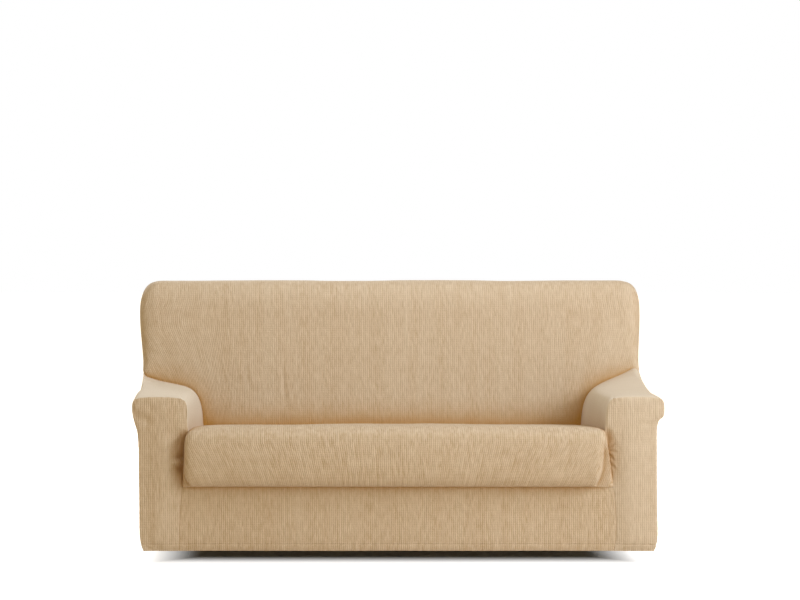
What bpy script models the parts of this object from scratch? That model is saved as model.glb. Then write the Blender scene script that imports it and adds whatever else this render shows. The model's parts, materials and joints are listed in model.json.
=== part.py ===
# Fitted stretch slipcover for a three-seat sofa, in eight cloth panels sewn edge to edge.
#
# Sizes are in metres. While the skin is worked out, x runs to the right from the middle, y runs back
# from the plane of the arm fronts and z runs up from the floor. The finished panels hang from an empty
# that puts the world's origin under the top of the back.
#
# The skin is laid out as patches of points that lie on the cloth. A cage is fitted to them so that its
# smoothed surface passes through every point, and each panel gets its thickness from that one skin, so
# neighbouring panels meet along mitred seams.

import math
from collections import namedtuple

import bmesh
import bpy
from mathutils import Vector

CLOTH_THICKNESS = 0.0025
SEAM_SETBACK = 0.0002        # each panel stops this far short of its seams
CORNER_SETBACK = 0.0012      # and this far where three panels meet
STEEPEST_MITRE = 1.7         # most that a mitre lengthens the way through the cloth
SHARPEST_TURN = 0.3          # keeps a panel's sharp corners from drawing far back
SHARP_ANGLE = math.radians(40)
FIT_ROUNDS = 12
WELD_DIGITS = 6
REAR_TOLERANCE = 0.00005

LEFT = -1
RIGHT = 1

HEM_HEIGHT = 0.047
REAR_DEPTH = 0.860
MOUNT_DEPTH = 0.770
MOUNT_HEIGHT = 0.9455

# The back's front face leans away from the seat and is a little fuller in the middle.
BACK_FOOT_DEPTH = 0.575
BACK_FOOT_HEIGHT = 0.428
BACK_LEAN = 0.12
BACK_FULLNESS = 0.012
BACK_HALF_WIDTH = 0.91

# Where the columns of points stand across the seat and the back, as shares of the half width.
COLUMN_SHARES = (-0.93, -0.72, -0.44, -0.15, 0.15, 0.44, 0.72, 0.93)

# Rows of the outer wall below the neck of the roll. The hem's elastic pulls the foot of the wall in.
WallRow = namedtuple("WallRow", "height pull_in_left pull_in_right")
WALL_ROWS = (
    WallRow(0.390, 0.000, 0.000),
    WallRow(0.320, 0.000, 0.000),
    WallRow(0.262, 0.001, -0.001),
    WallRow(0.170, 0.002, -0.002),
    WallRow(0.085, 0.004, -0.003),
    WallRow(HEM_HEIGHT, 0.017, 0.010),
)

# An arm's cross-sections from front to back. Widths are measured out from the middle of the cover.
ArmSection = namedtuple(
    "ArmSection",
    "depth inner inner_top seat top shoulder roll roll_height neck neck_height wall",
)
ARM_SECTIONS = {
    LEFT: (
        ArmSection(0.000, 0.7073, 0.7085, 0.450, 0.5657, 0.875, 0.9010, 0.5290, 0.8840, 0.458, 0.8775),
        ArmSection(0.040, 0.7040, 0.7070, 0.455, 0.5730, 0.875, 0.9010, 0.5340, 0.8830, 0.460, 0.8780),
        ArmSection(0.200, 0.6970, 0.7000, 0.450, 0.5770, 0.878, 0.9000, 0.5420, 0.8830, 0.466, 0.8785),
        ArmSection(0.400, 0.6880, 0.6920, 0.438, 0.5770, 0.881, 0.9000, 0.5480, 0.8860, 0.474, 0.8800),
    ),
    RIGHT: (
        ArmSection(0.000, 0.6985, 0.7070, 0.452, 0.5670, 0.878, 0.9030, 0.5230, 0.8765, 0.480, 0.8755),
        ArmSection(0.040, 0.6980, 0.7050, 0.455, 0.5710, 0.872, 0.8980, 0.5300, 0.8760, 0.478, 0.8765),
        ArmSection(0.200, 0.6950, 0.7000, 0.450, 0.5710, 0.876, 0.8990, 0.5410, 0.8800, 0.474, 0.8785),
        ArmSection(0.400, 0.6910, 0.6960, 0.438, 0.5730, 0.889, 0.9050, 0.5500, 0.8870, 0.474, 0.8810),
    ),
}
ARM_CORNER = 0.022           # rounding of the arm's inner top edge
ARM_CORNER_DROP = 0.0022
ARM_CROWN = 0.003
ARM_INNER_POINTS = 4         # points of a section up the arm's inner face, to its top edge
INNER_FACE_SHARES = (0.40, 0.42)    # how far out and up the point halfway up the inner face lies
ARM_TOP_SHARES = (0.33, 0.70)
ROLL_UPPER_SHARES = (0.75, 0.27)    # out from the shoulder and down towards the roll's widest point
ROLL_LOWER_SHARES = (0.62, 0.38)    # out from the neck and up towards the roll's widest point

# Where the arm's cloth meets the front of the back, from the seat up and out to the back's side.
JunctionPoint = namedtuple("JunctionPoint", "across height")
JUNCTIONS = {
    LEFT: (
        JunctionPoint(0.6780, 0.428),
        JunctionPoint(0.6810, 0.483),
        JunctionPoint(0.6960, 0.533),
        JunctionPoint(0.7290, 0.565),
        JunctionPoint(0.7800, 0.5785),
        JunctionPoint(0.8380, 0.590),
        JunctionPoint(0.8680, 0.599),
        JunctionPoint(0.8870, 0.606),
    ),
    RIGHT: (
        JunctionPoint(0.6860, 0.428),
        JunctionPoint(0.6910, 0.483),
        JunctionPoint(0.7060, 0.531),
        JunctionPoint(0.7380, 0.567),
        JunctionPoint(0.7880, 0.592),
        JunctionPoint(0.8360, 0.612),
        JunctionPoint(0.8650, 0.627),
        JunctionPoint(0.8860, 0.634),
    ),
}

# The side of the back and the wall below it. The first row is the foot of the back's side.
SideRow = namedtuple("SideRow", "height left right")
SIDE_ROWS_BELOW = (
    SideRow(0.620, 0.8990, 0.903),
    SideRow(0.565, 0.8975, 0.903),
    SideRow(0.500, 0.894, 0.900),
    SideRow(0.420, 0.889, 0.893),
    SideRow(0.340, 0.885, 0.888),
    SideRow(0.262, 0.882, 0.884),
    SideRow(0.170, 0.879, 0.881),
    SideRow(0.085, 0.876, 0.880),
    SideRow(HEM_HEIGHT, 0.866, 0.870),
)
SIDE_ROWS_ABOVE = (
    SideRow(0.700, 0.9070, 0.9085),
    SideRow(0.800, 0.9145, 0.9115),
    SideRow(0.885, 0.9105, 0.9085),
)
SIDE_DEPTHS = (0.690, 0.775, REAR_DEPTH)
SIDE_CORNER_INSET = 0.010    # the front corner line of the back stands in from its side
SIDE_CORNER_SETBACK = 0.016
SIDE_REAR_INSET = 0.006

# Columns of the back beyond the seat, from the side's corner line in.
OUTER_COLUMNS = (0.860, 0.835, 0.795, 0.750, 0.705)
OUTER_COLUMN_DROP = 0.003    # the top is this much lower where it turns down to the side

# Rows over the top of the back. The edge is where the top turns down into the side.
TopRow = namedtuple("TopRow", "depth height edge_left edge_right edge_height")
TOP_ROWS = (
    TopRow(0.650, 0.9340, 0.878, 0.881, 0.915),
    TopRow(0.690, 0.9475, 0.888, 0.891, 0.930),
    TopRow(0.775, 0.9485, 0.888, 0.891, 0.930),
    TopRow(REAR_DEPTH, 0.9400, 0.881, 0.884, 0.922),
)

# The seat and its rounded front, row by row from the back crease to the crease under the nose.
SeatRow = namedtuple("SeatRow", "middle shoulder")
SEAT_TOP_ROWS = (
    SeatRow(0.4660, 0.4640),
    SeatRow(0.4685, 0.4660),
    SeatRow(0.4625, 0.4560),
    SeatRow(0.4460, 0.4430),
)
NoseRow = namedtuple("NoseRow", "depth height")
NOSE_ROWS = (
    NoseRow(-0.030, 0.4540),
    NoseRow(-0.047, 0.4270),
    NoseRow(-0.053, 0.3600),
    NoseRow(-0.047, 0.3000),
    NoseRow(-0.028, 0.2730),
)
NoseEnd = namedtuple("NoseEnd", "across depth height")
NOSE_ENDS = {
    LEFT: (
        NoseEnd(0.6980, -0.020, 0.4550),
        NoseEnd(0.7170, -0.034, 0.4300),
        NoseEnd(0.7165, -0.040, 0.3600),
        NoseEnd(0.7185, -0.034, 0.2980),
        NoseEnd(0.7040, -0.018, 0.2700),
    ),
    RIGHT: (
        NoseEnd(0.6900, -0.022, 0.4560),
        NoseEnd(0.6990, -0.034, 0.4300),
        NoseEnd(0.7040, -0.040, 0.3650),
        NoseEnd(0.7000, -0.034, 0.3050),
        NoseEnd(0.6840, -0.018, 0.2720),
    ),
}

# The seam between an arm front and what lies inside it, from the hem up to the seat.
SeamPoint = namedtuple("SeamPoint", "across depth height")
FRONT_SEAMS = {
    LEFT: (
        SeamPoint(0.7400, 0.010, HEM_HEIGHT),
        SeamPoint(0.7395, 0.004, 0.085),
        SeamPoint(0.7365, 0.004, 0.170),
        SeamPoint(0.7290, 0.010, 0.262),
        SeamPoint(0.7260, 0.024, 0.298),
        SeamPoint(0.7240, 0.030, 0.360),
        SeamPoint(0.7180, 0.022, 0.424),
    ),
    RIGHT: (
        SeamPoint(0.7290, 0.010, HEM_HEIGHT),
        SeamPoint(0.7370, 0.004, 0.085),
        SeamPoint(0.7375, 0.003, 0.170),
        SeamPoint(0.7290, 0.006, 0.262),
        SeamPoint(0.7245, 0.012, 0.305),
        SeamPoint(0.7160, 0.014, 0.365),
        SeamPoint(0.7060, 0.010, 0.424),
    ),
}
BORDER_ROWS = 3              # points of that seam below the crease, which the front border shares
BORDER_DEPTH = 0.006
BORDER_HEM_DEPTH = 0.014
CREASE_HEIGHT = 0.264
FRONT_BULGE = 0.005
HEM_FRONT_DEPTH = 0.008
FRONT_COLUMN_SHARES = (0.30, 0.66)

CLOTH_COLOUR = (0.560, 0.390, 0.235)
CLOTH_ROUGHNESS = 0.92
PANEL_TINTS = {
    "inside_back": 1.00,
    "outside_back": 0.94,
    "seat": 1.03,
    "front_border": 0.98,
    "arm_left": 0.97,
    "arm_right": 1.04,
    "arm_front_left": 0.95,
    "arm_front_right": 1.05,
}
PANELS = tuple(PANEL_TINTS)


def clear_scene():
    for thing in list(bpy.data.objects):
        bpy.data.objects.remove(thing)


def side_name(part, side):
    return f"{part}_{'left' if side == LEFT else 'right'}"


def blend(start, end, share):
    return start + (end - start) * share


def back_face_depth(across, height):
    lean = BACK_LEAN * (height - BACK_FOOT_HEIGHT)
    fullness = BACK_FULLNESS * (1 - (across / BACK_HALF_WIDTH) ** 2)
    return BACK_FOOT_DEPTH + lean - fullness


def side_width(row, side):
    return row.left if side == LEFT else row.right


def side_corner(row, side):
    """A point on the front corner line of the side."""
    across = side_width(row, side)
    if row in SIDE_ROWS_ABOVE:
        across -= SIDE_CORNER_INSET
    depth = back_face_depth(across, row.height) + SIDE_CORNER_SETBACK
    return Vector((side * across, depth, row.height))


def side_point(row, depth, side):
    inset = SIDE_REAR_INSET if depth == REAR_DEPTH else 0.0
    return Vector((side * (side_width(row, side) - inset), depth, row.height))


def top_edge_point(row, side):
    across = row.edge_left if side == LEFT else row.edge_right
    return Vector((side * across, row.depth, row.edge_height))


def arm_section_points(section, side):
    """Points round one section of an arm, from the seat crease over the top and down to the hem."""
    rise = section.top - section.seat
    drop = section.top - section.roll_height
    shelf = section.inner_top + ARM_CORNER
    face_out, face_up = INNER_FACE_SHARES
    upper_out, upper_down = ROLL_UPPER_SHARES
    lower_out, lower_up = ROLL_LOWER_SHARES
    outline = [
        (section.inner, section.seat),
        (blend(section.inner, section.inner_top, face_out), section.seat + face_up * rise),
        (section.inner_top, section.top - ARM_CORNER),
        (shelf, section.top - ARM_CORNER_DROP),
    ]
    outline += [(blend(shelf, section.shoulder, share), section.top + ARM_CROWN) for share in ARM_TOP_SHARES]
    outline += [
        (section.shoulder, section.top),
        (blend(section.shoulder, section.roll, upper_out), section.top - upper_down * drop),
        (section.roll, section.roll_height),
        (
            blend(section.neck, section.roll, lower_out),
            blend(section.neck_height, section.roll_height, lower_up),
        ),
        (section.neck, section.neck_height),
    ]
    for row in WALL_ROWS:
        pull_in = row.pull_in_left if side == LEFT else row.pull_in_right
        outline.append((section.wall - pull_in, row.height))
    return [Vector((side * across, section.depth, height)) for across, height in outline]


def junction_points(side):
    """The arm's last section: over the face of the back, then down the corner line of the side."""
    points = []
    for point in JUNCTIONS[side]:
        depth = back_face_depth(point.across, point.height)
        points.append(Vector((side * point.across, depth, point.height)))
    return points + [side_corner(row, side) for row in SIDE_ROWS_BELOW]


def row_between(start, end, depth, height_at):
    """A row of points from start to end, with the shared column places between them."""
    row = [start]
    for share in COLUMN_SHARES:
        row.append(Vector((blend(start.x, end.x, (share + 1) / 2), depth, height_at(share))))
    return row + [end]


def level_row(start, end, depth, height):
    return row_between(start, end, depth, lambda share: height)


def back_row(start, end):
    """A row on the face of the back."""
    row = row_between(start, end, start.y, lambda share: blend(start.z, end.z, (share + 1) / 2))
    for point in row[1:-1]:
        point.y = back_face_depth(point.x, point.z)
    return row


class Skin:
    """The whole cover as one surface: patches of quads that share the points on their borders."""

    def __init__(self):
        self.mesh = bmesh.new()
        self.panel = self.mesh.faces.layers.int.new("panel")
        self.corners = {}

    def corner(self, point):
        key = tuple(round(value, WELD_DIGITS) for value in point)
        if key not in self.corners:
            self.corners[key] = self.mesh.verts.new(point)
        return self.corners[key]

    def patch(self, rows, panel):
        for lower, upper in zip(rows, rows[1:]):
            for column in range(len(lower) - 1):
                quad = (lower[column], lower[column + 1], upper[column + 1], upper[column])
                face = self.mesh.faces.new([self.corner(point) for point in quad])
                face[self.panel] = PANELS.index(panel)

    def crease_seams(self):
        crease = self.mesh.edges.layers.float.new("crease_edge")
        for edge in self.mesh.edges:
            if len({face[self.panel] for face in edge.link_faces}) > 1:
                edge[crease] = 1.0


def lay_out_arm(skin, side):
    """An arm's cloth, and the wall that carries on behind it to the rear seam. Returns its sections."""
    sections = [arm_section_points(row, side) for row in ARM_SECTIONS[side]]
    sections.append(junction_points(side))
    panel = side_name("arm", side)
    skin.patch(sections, panel)
    wall = [sections[-1][-len(SIDE_ROWS_BELOW):]]
    for depth in SIDE_DEPTHS:
        wall.append([side_point(row, depth, side) for row in SIDE_ROWS_BELOW])
    skin.patch(wall, panel)
    return sections


def seat_height_at(row):
    return lambda share: blend(row.middle, row.shoulder, share * share)


def lay_out_seat(skin, left, right):
    """The seat from the back crease over its nose to the crease below, and the nose's two ends."""
    rows = [back_row(left[-1][0], right[-1][0])]
    for index in reversed(range(len(SEAT_TOP_ROWS))):
        row = SEAT_TOP_ROWS[index]
        start = left[index][0]
        rows.append(row_between(start, right[index][0], start.y, seat_height_at(row)))
    nose = []
    for row, left_end, right_end in zip(NOSE_ROWS, NOSE_ENDS[LEFT], NOSE_ENDS[RIGHT]):
        start = Vector((-left_end.across, left_end.depth, left_end.height))
        end = Vector((right_end.across, right_end.depth, right_end.height))
        nose.append(level_row(start, end, row.depth, row.height))
    crease = level_row(
        front_seam(LEFT)[BORDER_ROWS], front_seam(RIGHT)[BORDER_ROWS], BORDER_DEPTH, CREASE_HEIGHT
    )
    skin.patch(rows + nose + [crease], "seat")
    for side, end, arm in ((LEFT, 0, left), (RIGHT, -1, right)):
        seam = [arm[0][0]] + front_seam(side)[:BORDER_ROWS - 1:-1]
        skin.patch([[row[end] for row in nose], seam], "seat")
    return crease


def front_seam(side):
    return [Vector((side * point.across, point.depth, point.height)) for point in FRONT_SEAMS[side]]


def lay_out_border(skin, crease):
    left = front_seam(LEFT)
    right = front_seam(RIGHT)
    rows = [crease]
    for index in reversed(range(BORDER_ROWS)):
        depth = BORDER_HEM_DEPTH if index == 0 else BORDER_DEPTH
        rows.append(level_row(left[index], right[index], depth, left[index].z))
    skin.patch(rows, "front_border")


def lay_out_arm_front(skin, section, side):
    """The scroll-shaped facing: rows from the seam inside it across to the arm's first section."""
    inside = front_seam(side) + section[:ARM_INNER_POINTS]
    outside = section[:-len(inside) - 1:-1]
    rows = []
    for start, end in zip(inside, outside):
        row = [start]
        for share in FRONT_COLUMN_SHARES:
            point = start.lerp(end, share)
            point.y = -FRONT_BULGE if start.z > HEM_HEIGHT else HEM_FRONT_DEPTH
            row.append(point)
        rows.append(row + [end])
    rows[-1][1:-1] = section[ARM_INNER_POINTS:ARM_INNER_POINTS + len(FRONT_COLUMN_SHARES)]
    skin.patch(rows, side_name("arm_front", side))


def lay_out_back(skin, left, right):
    """The back's front face between and above the arms, its top and both of its sides."""
    lower = [back_row(left[-1][index], right[-1][index]) for index in range(ARM_INNER_POINTS)]
    skin.patch(lower, "inside_back")
    foot = len(JUNCTIONS[LEFT])
    upper = [left[-1][foot:ARM_INNER_POINTS - 1:-1] + lower[-1] + right[-1][ARM_INNER_POINTS:foot + 1]]
    for row in SIDE_ROWS_ABOVE:
        upper.append(full_row(row.height, side_corner(row, LEFT), side_corner(row, RIGHT)))
    top = [top_row(row) for row in TOP_ROWS]
    skin.patch(upper + top, "inside_back")
    for side, end in ((LEFT, 0), (RIGHT, -1)):
        columns = [[row[end] for row in upper] + [top[0][end]]]
        for depth, row in zip(SIDE_DEPTHS, top[1:]):
            side_rows = (SIDE_ROWS_BELOW[0],) + SIDE_ROWS_ABOVE
            columns.append([side_point(level, depth, side) for level in side_rows] + [row[end]])
        skin.patch(columns, "inside_back")


def full_row(height, start, end):
    """A row across the whole face of the back at one height."""
    inner_end = Vector((OUTER_COLUMNS[-1], 0, height))
    inner_start = Vector((-OUTER_COLUMNS[-1], 0, height))
    row = [Vector((-across, 0, height)) for across in OUTER_COLUMNS[:-1]]
    row += level_row(inner_start, inner_end, 0, height)
    row += [Vector((across, 0, height)) for across in reversed(OUTER_COLUMNS[:-1])]
    for point in row:
        point.y = back_face_depth(point.x, height)
    return [start] + row + [end]


def top_row(row):
    points = full_row(row.height, top_edge_point(row, LEFT), top_edge_point(row, RIGHT))
    for point in points[1:-1]:
        point.y = row.depth
    points[1].z -= OUTER_COLUMN_DROP
    points[-2].z -= OUTER_COLUMN_DROP
    return points


def lay_out_skin():
    skin = Skin()
    left = lay_out_arm(skin, LEFT)
    right = lay_out_arm(skin, RIGHT)
    crease = lay_out_seat(skin, left, right)
    lay_out_border(skin, crease)
    lay_out_arm_front(skin, left[0], LEFT)
    lay_out_arm_front(skin, right[0], RIGHT)
    lay_out_back(skin, left, right)
    bmesh.ops.recalc_face_normals(skin.mesh, faces=skin.mesh.faces[:])
    skin.crease_seams()
    return skin


def smoothed(cage):
    graph = bpy.context.evaluated_depsgraph_get()
    return bpy.data.meshes.new_from_object(cage.evaluated_get(graph))


def fit_cage(cage):
    """Moves the cage's points until the smoothed surface passes through where they were laid out."""
    laid_out = [vertex.co.copy() for vertex in cage.data.vertices]
    for _ in range(FIT_ROUNDS):
        surface = smoothed(cage)
        for vertex, wanted, found in zip(cage.data.vertices, laid_out, surface.vertices):
            vertex.co += wanted - found.co
        bpy.data.meshes.remove(surface)


def smooth_skin(skin):
    """The laid-out skin as a smooth surface, closed at the rear and open below."""
    mesh = bpy.data.meshes.new("skin_cage")
    skin.mesh.to_mesh(mesh)
    cage = bpy.data.objects.new("skin_cage", mesh)
    bpy.context.scene.collection.objects.link(cage)
    smooth = cage.modifiers.new("Smooth", "SUBSURF")
    smooth.levels = 1
    smooth.render_levels = 1
    smooth.boundary_smooth = "PRESERVE_CORNERS"
    fit_cage(cage)
    surface = bmesh.new()
    surface.from_mesh(smoothed(cage))
    bpy.data.objects.remove(cage)
    close_rear(surface)
    surface.normal_update()
    surface.verts.index_update()
    return surface


def close_rear(surface):
    """The rear panel is one flat face inside the rear seam."""
    rim = [vert for vert in surface.verts if abs(vert.co.y - REAR_DEPTH) < REAR_TOLERANCE]
    middle = Vector((0.0, REAR_DEPTH, sum(vert.co.z for vert in rim) / len(rim)))

    def turn_from_below(vert):
        spoke = vert.co - middle
        return math.atan2(spoke.x, -spoke.z) % math.tau

    face = surface.faces.new(sorted(rim, key=turn_from_below, reverse=True))
    face.normal_update()
    if face.normal.y < 0:
        face.normal_flip()
    face[surface.faces.layers.int["panel"]] = PANELS.index("outside_back")


def on_border(edge, faces):
    return sum(face in faces for face in edge.link_faces) == 1


def setback(vert, faces, layer):
    """How far a panel's point moves in from the panel's border."""
    inward = []
    for face in vert.link_faces:
        for loop in face.loops:
            if face in faces and vert in loop.edge.verts and on_border(loop.edge, faces):
                run = loop.link_loop_next.vert.co - loop.vert.co
                inward.append(face.normal.cross(run).normalized())
    if not inward:
        return Vector((0.0, 0.0, 0.0))
    panels_here = {face[layer] for face in vert.link_faces}
    distance = CORNER_SETBACK if len(panels_here) > 2 else SEAM_SETBACK
    both = inward[0] + inward[1]
    return both * distance / max(1 + inward[0].dot(inward[1]), SHARPEST_TURN)


def sew_panel(surface, name):
    """One panel as a closed sheet: its outer faces, the same faces inside, and the cut edges.

    Both panels at a seam split their cut edges along the same diagonals, so that they lie parallel.
    """
    layer = surface.faces.layers.int["panel"]
    faces = dict.fromkeys(face for face in surface.faces if face[layer] == PANELS.index(name))
    sheet = bmesh.new()
    outer = {}
    inner = {}
    for vert in dict.fromkeys(vert for face in faces for vert in face.verts):
        edge_shift = setback(vert, faces, layer)
        through = vert.normal * CLOTH_THICKNESS * min(vert.calc_shell_factor(), STEEPEST_MITRE)
        outer[vert] = sheet.verts.new(vert.co + edge_shift)
        inner[vert] = sheet.verts.new(vert.co + edge_shift - through)
    for face in faces:
        sheet.faces.new([outer[vert] for vert in face.verts])
        sheet.faces.new([inner[vert] for vert in reversed(face.verts)])
        for loop in face.loops:
            if on_border(loop.edge, faces):
                start = loop.vert
                end = loop.link_loop_next.vert
                rim = (outer[end], outer[start], inner[start], inner[end])
                if start.index < end.index:
                    rim = rim[1:] + rim[:1]
                sheet.faces.new(rim[:3])
                sheet.faces.new((rim[0], rim[2], rim[3]))
    mesh = bpy.data.meshes.new(name)
    sheet.to_mesh(mesh)
    sheet.free()
    mesh.shade_smooth()
    mesh.set_sharp_from_angle(angle=SHARP_ANGLE)
    return bpy.data.objects.new(name, mesh)


def cloth_material(name):
    material = bpy.data.materials.new(name + "_cloth")
    material.use_nodes = True
    shader = material.node_tree.nodes["Principled BSDF"]
    tint = PANEL_TINTS[name]
    shader.inputs["Base Color"].default_value = (*(value * tint for value in CLOTH_COLOUR), 1.0)
    shader.inputs["Roughness"].default_value = CLOTH_ROUGHNESS
    shader.inputs["Metallic"].default_value = 0.0
    return material


def main():
    clear_scene()
    cover = bpy.data.collections.new("sofa_slipcover")
    bpy.context.scene.collection.children.link(cover)
    origin = bpy.data.objects.new("under_top_of_back", None)
    origin.location = (0.0, -MOUNT_DEPTH, -MOUNT_HEIGHT)
    cover.objects.link(origin)
    surface = smooth_skin(lay_out_skin())
    for name in PANELS:
        panel = sew_panel(surface, name)
        panel.data.materials.append(cloth_material(name))
        panel.parent = origin
        cover.objects.link(panel)
    surface.free()


main()
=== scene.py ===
import json
import math

import bmesh
import bpy
import numpy as np
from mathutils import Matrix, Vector, noise
from mathutils.bvhtree import BVHTree
from mathutils.kdtree import KDTree

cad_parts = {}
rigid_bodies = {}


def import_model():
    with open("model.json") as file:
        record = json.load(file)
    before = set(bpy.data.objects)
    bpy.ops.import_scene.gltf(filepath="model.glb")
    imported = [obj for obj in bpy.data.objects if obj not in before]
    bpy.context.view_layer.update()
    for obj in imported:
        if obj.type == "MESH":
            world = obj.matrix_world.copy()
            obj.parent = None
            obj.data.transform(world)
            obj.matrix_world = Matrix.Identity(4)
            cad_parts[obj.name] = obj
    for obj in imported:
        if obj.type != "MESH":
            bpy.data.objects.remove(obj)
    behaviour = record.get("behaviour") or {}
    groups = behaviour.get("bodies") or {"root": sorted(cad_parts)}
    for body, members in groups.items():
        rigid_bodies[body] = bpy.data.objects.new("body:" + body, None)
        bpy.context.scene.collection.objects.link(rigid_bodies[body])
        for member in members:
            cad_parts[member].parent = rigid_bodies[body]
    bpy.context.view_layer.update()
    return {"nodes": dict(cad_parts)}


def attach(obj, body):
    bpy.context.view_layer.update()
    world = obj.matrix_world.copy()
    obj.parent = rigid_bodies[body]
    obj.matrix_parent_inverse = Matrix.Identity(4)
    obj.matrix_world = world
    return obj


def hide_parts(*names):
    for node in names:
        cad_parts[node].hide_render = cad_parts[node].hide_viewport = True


# A fitted stretch slipcover, three seats wide, hollow and open below. Sizes are in metres, x runs to the
# right, y to the back and z up, from the origin under the middle of the top of the back.

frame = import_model()

body = "root"
hemLevel = -0.8985
cloth = {
    "thickness": 0.0022, "rimWidth": 0.0044, "rimLength": 0.08, "merge": 0.00002, "longest": 1.42,
    "flatAngle": 60, "shapeAngle": 70, "smoothAngle": 60,
}


def selectOnly(piece):
    if bpy.context.object and bpy.context.object.mode != "OBJECT":
        bpy.ops.object.mode_set(mode="OBJECT")
    bpy.ops.object.select_all(action="DESELECT")
    piece.select_set(True)
    bpy.context.view_layer.objects.active = piece


def applied(piece, kind, **settings):
    selectOnly(piece)
    modifier = piece.modifiers.new(kind.lower(), kind)
    for name, value in settings.items():
        setattr(modifier, name, value)
    bpy.ops.object.modifier_apply(modifier=modifier.name)


def openForEdit(piece, mode):
    selectOnly(piece)
    bpy.ops.object.mode_set(mode="EDIT")
    bpy.ops.mesh.select_mode(type=mode)
    bpy.ops.mesh.select_all(action="DESELECT")
    return bmesh.from_edit_mesh(piece.data)


def showSelection(piece, mesh):
    mesh.select_flush_mode()
    bmesh.update_edit_mesh(piece.data)


def closeEdit():
    bpy.ops.object.mode_set(mode="OBJECT")


def newObject(name, data):
    made = bpy.data.objects.new(name, data)
    bpy.context.scene.collection.objects.link(made)
    return made


def report(piece):
    triangles = sum(len(polygon.vertices) - 2 for polygon in piece.data.polygons)
    print(f"{piece.name}: {triangles} triangles")


def readPoints(piece, what="co"):
    values = np.empty(len(piece.data.vertices) * 3)
    piece.data.vertices.foreach_get(what, values)
    return values.reshape(-1, 3)


def writePoints(piece, points):
    piece.data.vertices.foreach_set("co", points.ravel())
    piece.data.update()


def smoothStep(values, low, high):
    share = np.clip((values - low) / (high - low), 0, 1)
    return share * share * (3 - 2 * share)


def lengthsAlong(path):
    return np.concatenate(([0], np.cumsum(np.linalg.norm(np.diff(path, axis=0), axis=1))))


# Whether a face belongs to the narrow strip between the outer and the inner face of a panel.
def crossesCloth(face):
    lengths = [edge.calc_length() for edge in face.edges]
    narrowest = 2 * face.calc_area() / max(lengths)
    isLong = max(lengths) > cloth["rimLength"]
    return min(lengths) < cloth["rimWidth"] or narrowest < cloth["rimWidth"] and isLong


# The outer face of a CAD panel, as an open sheet of quads.
def outerFace(nodeName, outward):
    piece = newObject(nodeName + "_cloth", frame["nodes"][nodeName].data.copy())
    piece.data.materials.clear()
    openForEdit(piece, "FACE")
    bpy.ops.mesh.select_all(action="SELECT")
    bpy.ops.mesh.remove_doubles(threshold=cloth["merge"])
    bpy.ops.mesh.select_all(action="DESELECT")
    mesh = bmesh.from_edit_mesh(piece.data)
    for face in mesh.faces:
        face.select = crossesCloth(face)
    showSelection(piece, mesh)
    bpy.ops.mesh.delete(type="FACE")
    mesh = bmesh.from_edit_mesh(piece.data)
    furthest = max(mesh.faces, key=lambda face: face.calc_center_median().dot(Vector(outward)))
    furthest.select = True
    showSelection(piece, mesh)
    bpy.ops.mesh.select_linked(delimit=set())
    bpy.ops.mesh.select_all(action="INVERT")
    bpy.ops.mesh.delete(type="VERT")
    bpy.ops.mesh.select_all(action="SELECT")
    bpy.ops.mesh.fill_holes(sides=4)
    bpy.ops.mesh.select_all(action="SELECT")
    bpy.ops.mesh.tris_convert_to_quads(face_threshold=math.radians(cloth["flatAngle"]),
                                       shape_threshold=math.radians(cloth["shapeAngle"]))
    bpy.ops.mesh.normals_make_consistent(inside=False)
    mesh = bmesh.from_edit_mesh(piece.data)
    if sum(face.calc_area() * face.normal.dot(Vector(outward)) for face in mesh.faces) < 0:
        bpy.ops.mesh.flip_normals()
    closeEdit()
    return piece


# Cuts the rings of faces that are still too long, so that the mesh is about even.
def evenOut(piece, spacing):
    tooLong = True
    while tooLong:
        mesh = openForEdit(piece, "EDGE")
        tooLong = False
        seen = set()
        for edge in mesh.edges:
            if edge in seen:
                continue
            seen.add(edge)
            ring = [edge]
            for member in ring:
                for face in member.link_faces:
                    if len(face.edges) != 4:
                        continue
                    opposite = next(e for e in face.edges if not set(e.verts) & set(member.verts))
                    if opposite not in seen:
                        seen.add(opposite)
                        ring.append(opposite)
            if sum(member.calc_length() for member in ring) / len(ring) > spacing * cloth["longest"]:
                tooLong = True
                for member in ring:
                    member.select = True
        showSelection(piece, mesh)
        if tooLong:
            bpy.ops.mesh.subdivide(number_cuts=1, smoothness=0)
        closeEdit()


# How the cloth rolls into its seams, and over what lengths it does so.
seam = {
    "rollWidth": 0.003, "rollDepth": 0.0012, "shallower": 0.85, "lip": 0.0003, "lipWidth": 0.004,
    "evenBand": 0.014, "evenings": 6, "close": 0.008, "near": 0.004, "sameWay": 0.995,
    "corner": 0.011, "even": 0.014, "flattest": 0.001,
    "softer": 0.005, "softerSide": (0.78, 0.87), "softerTop": (-0.56, -0.48),
    "flushSide": (0.668, 0.736), "flushTop": (-0.700, -0.640),
    "loose": (0.004, 0.040), "foldFrom": 0.0004,
    "puckerDepth": 0.0005, "puckerLength": 0.021, "puckerReach": 0.022, "puckerFrom": 0.0005,
    "wobble": (18, 3), "wobbleShift": 5, "wobbleLeast": 0.5,
}
# How the hem is stitched and gathered.
hem = {
    "stitchUp": 0.022, "edgeBand": 0.005, "panelBand": 0.01, "fullness": 0.0008, "fullFrom": 0.004,
    "grooveHalfWidth": 0.0028, "grooveDepth": 0.0016, "grooveShare": 0.6,
    "gather": 0.0008, "gatherLength": 0.033, "gatherReach": 0.030, "gatherDrift": (3, 9),
}
stitchLevel = hemLevel + hem["stitchUp"]


def readEdges(piece):
    ends = np.empty(len(piece.data.edges) * 2, int)
    piece.data.edges.foreach_get("vertices", ends)
    return ends.reshape(-1, 2)


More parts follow.
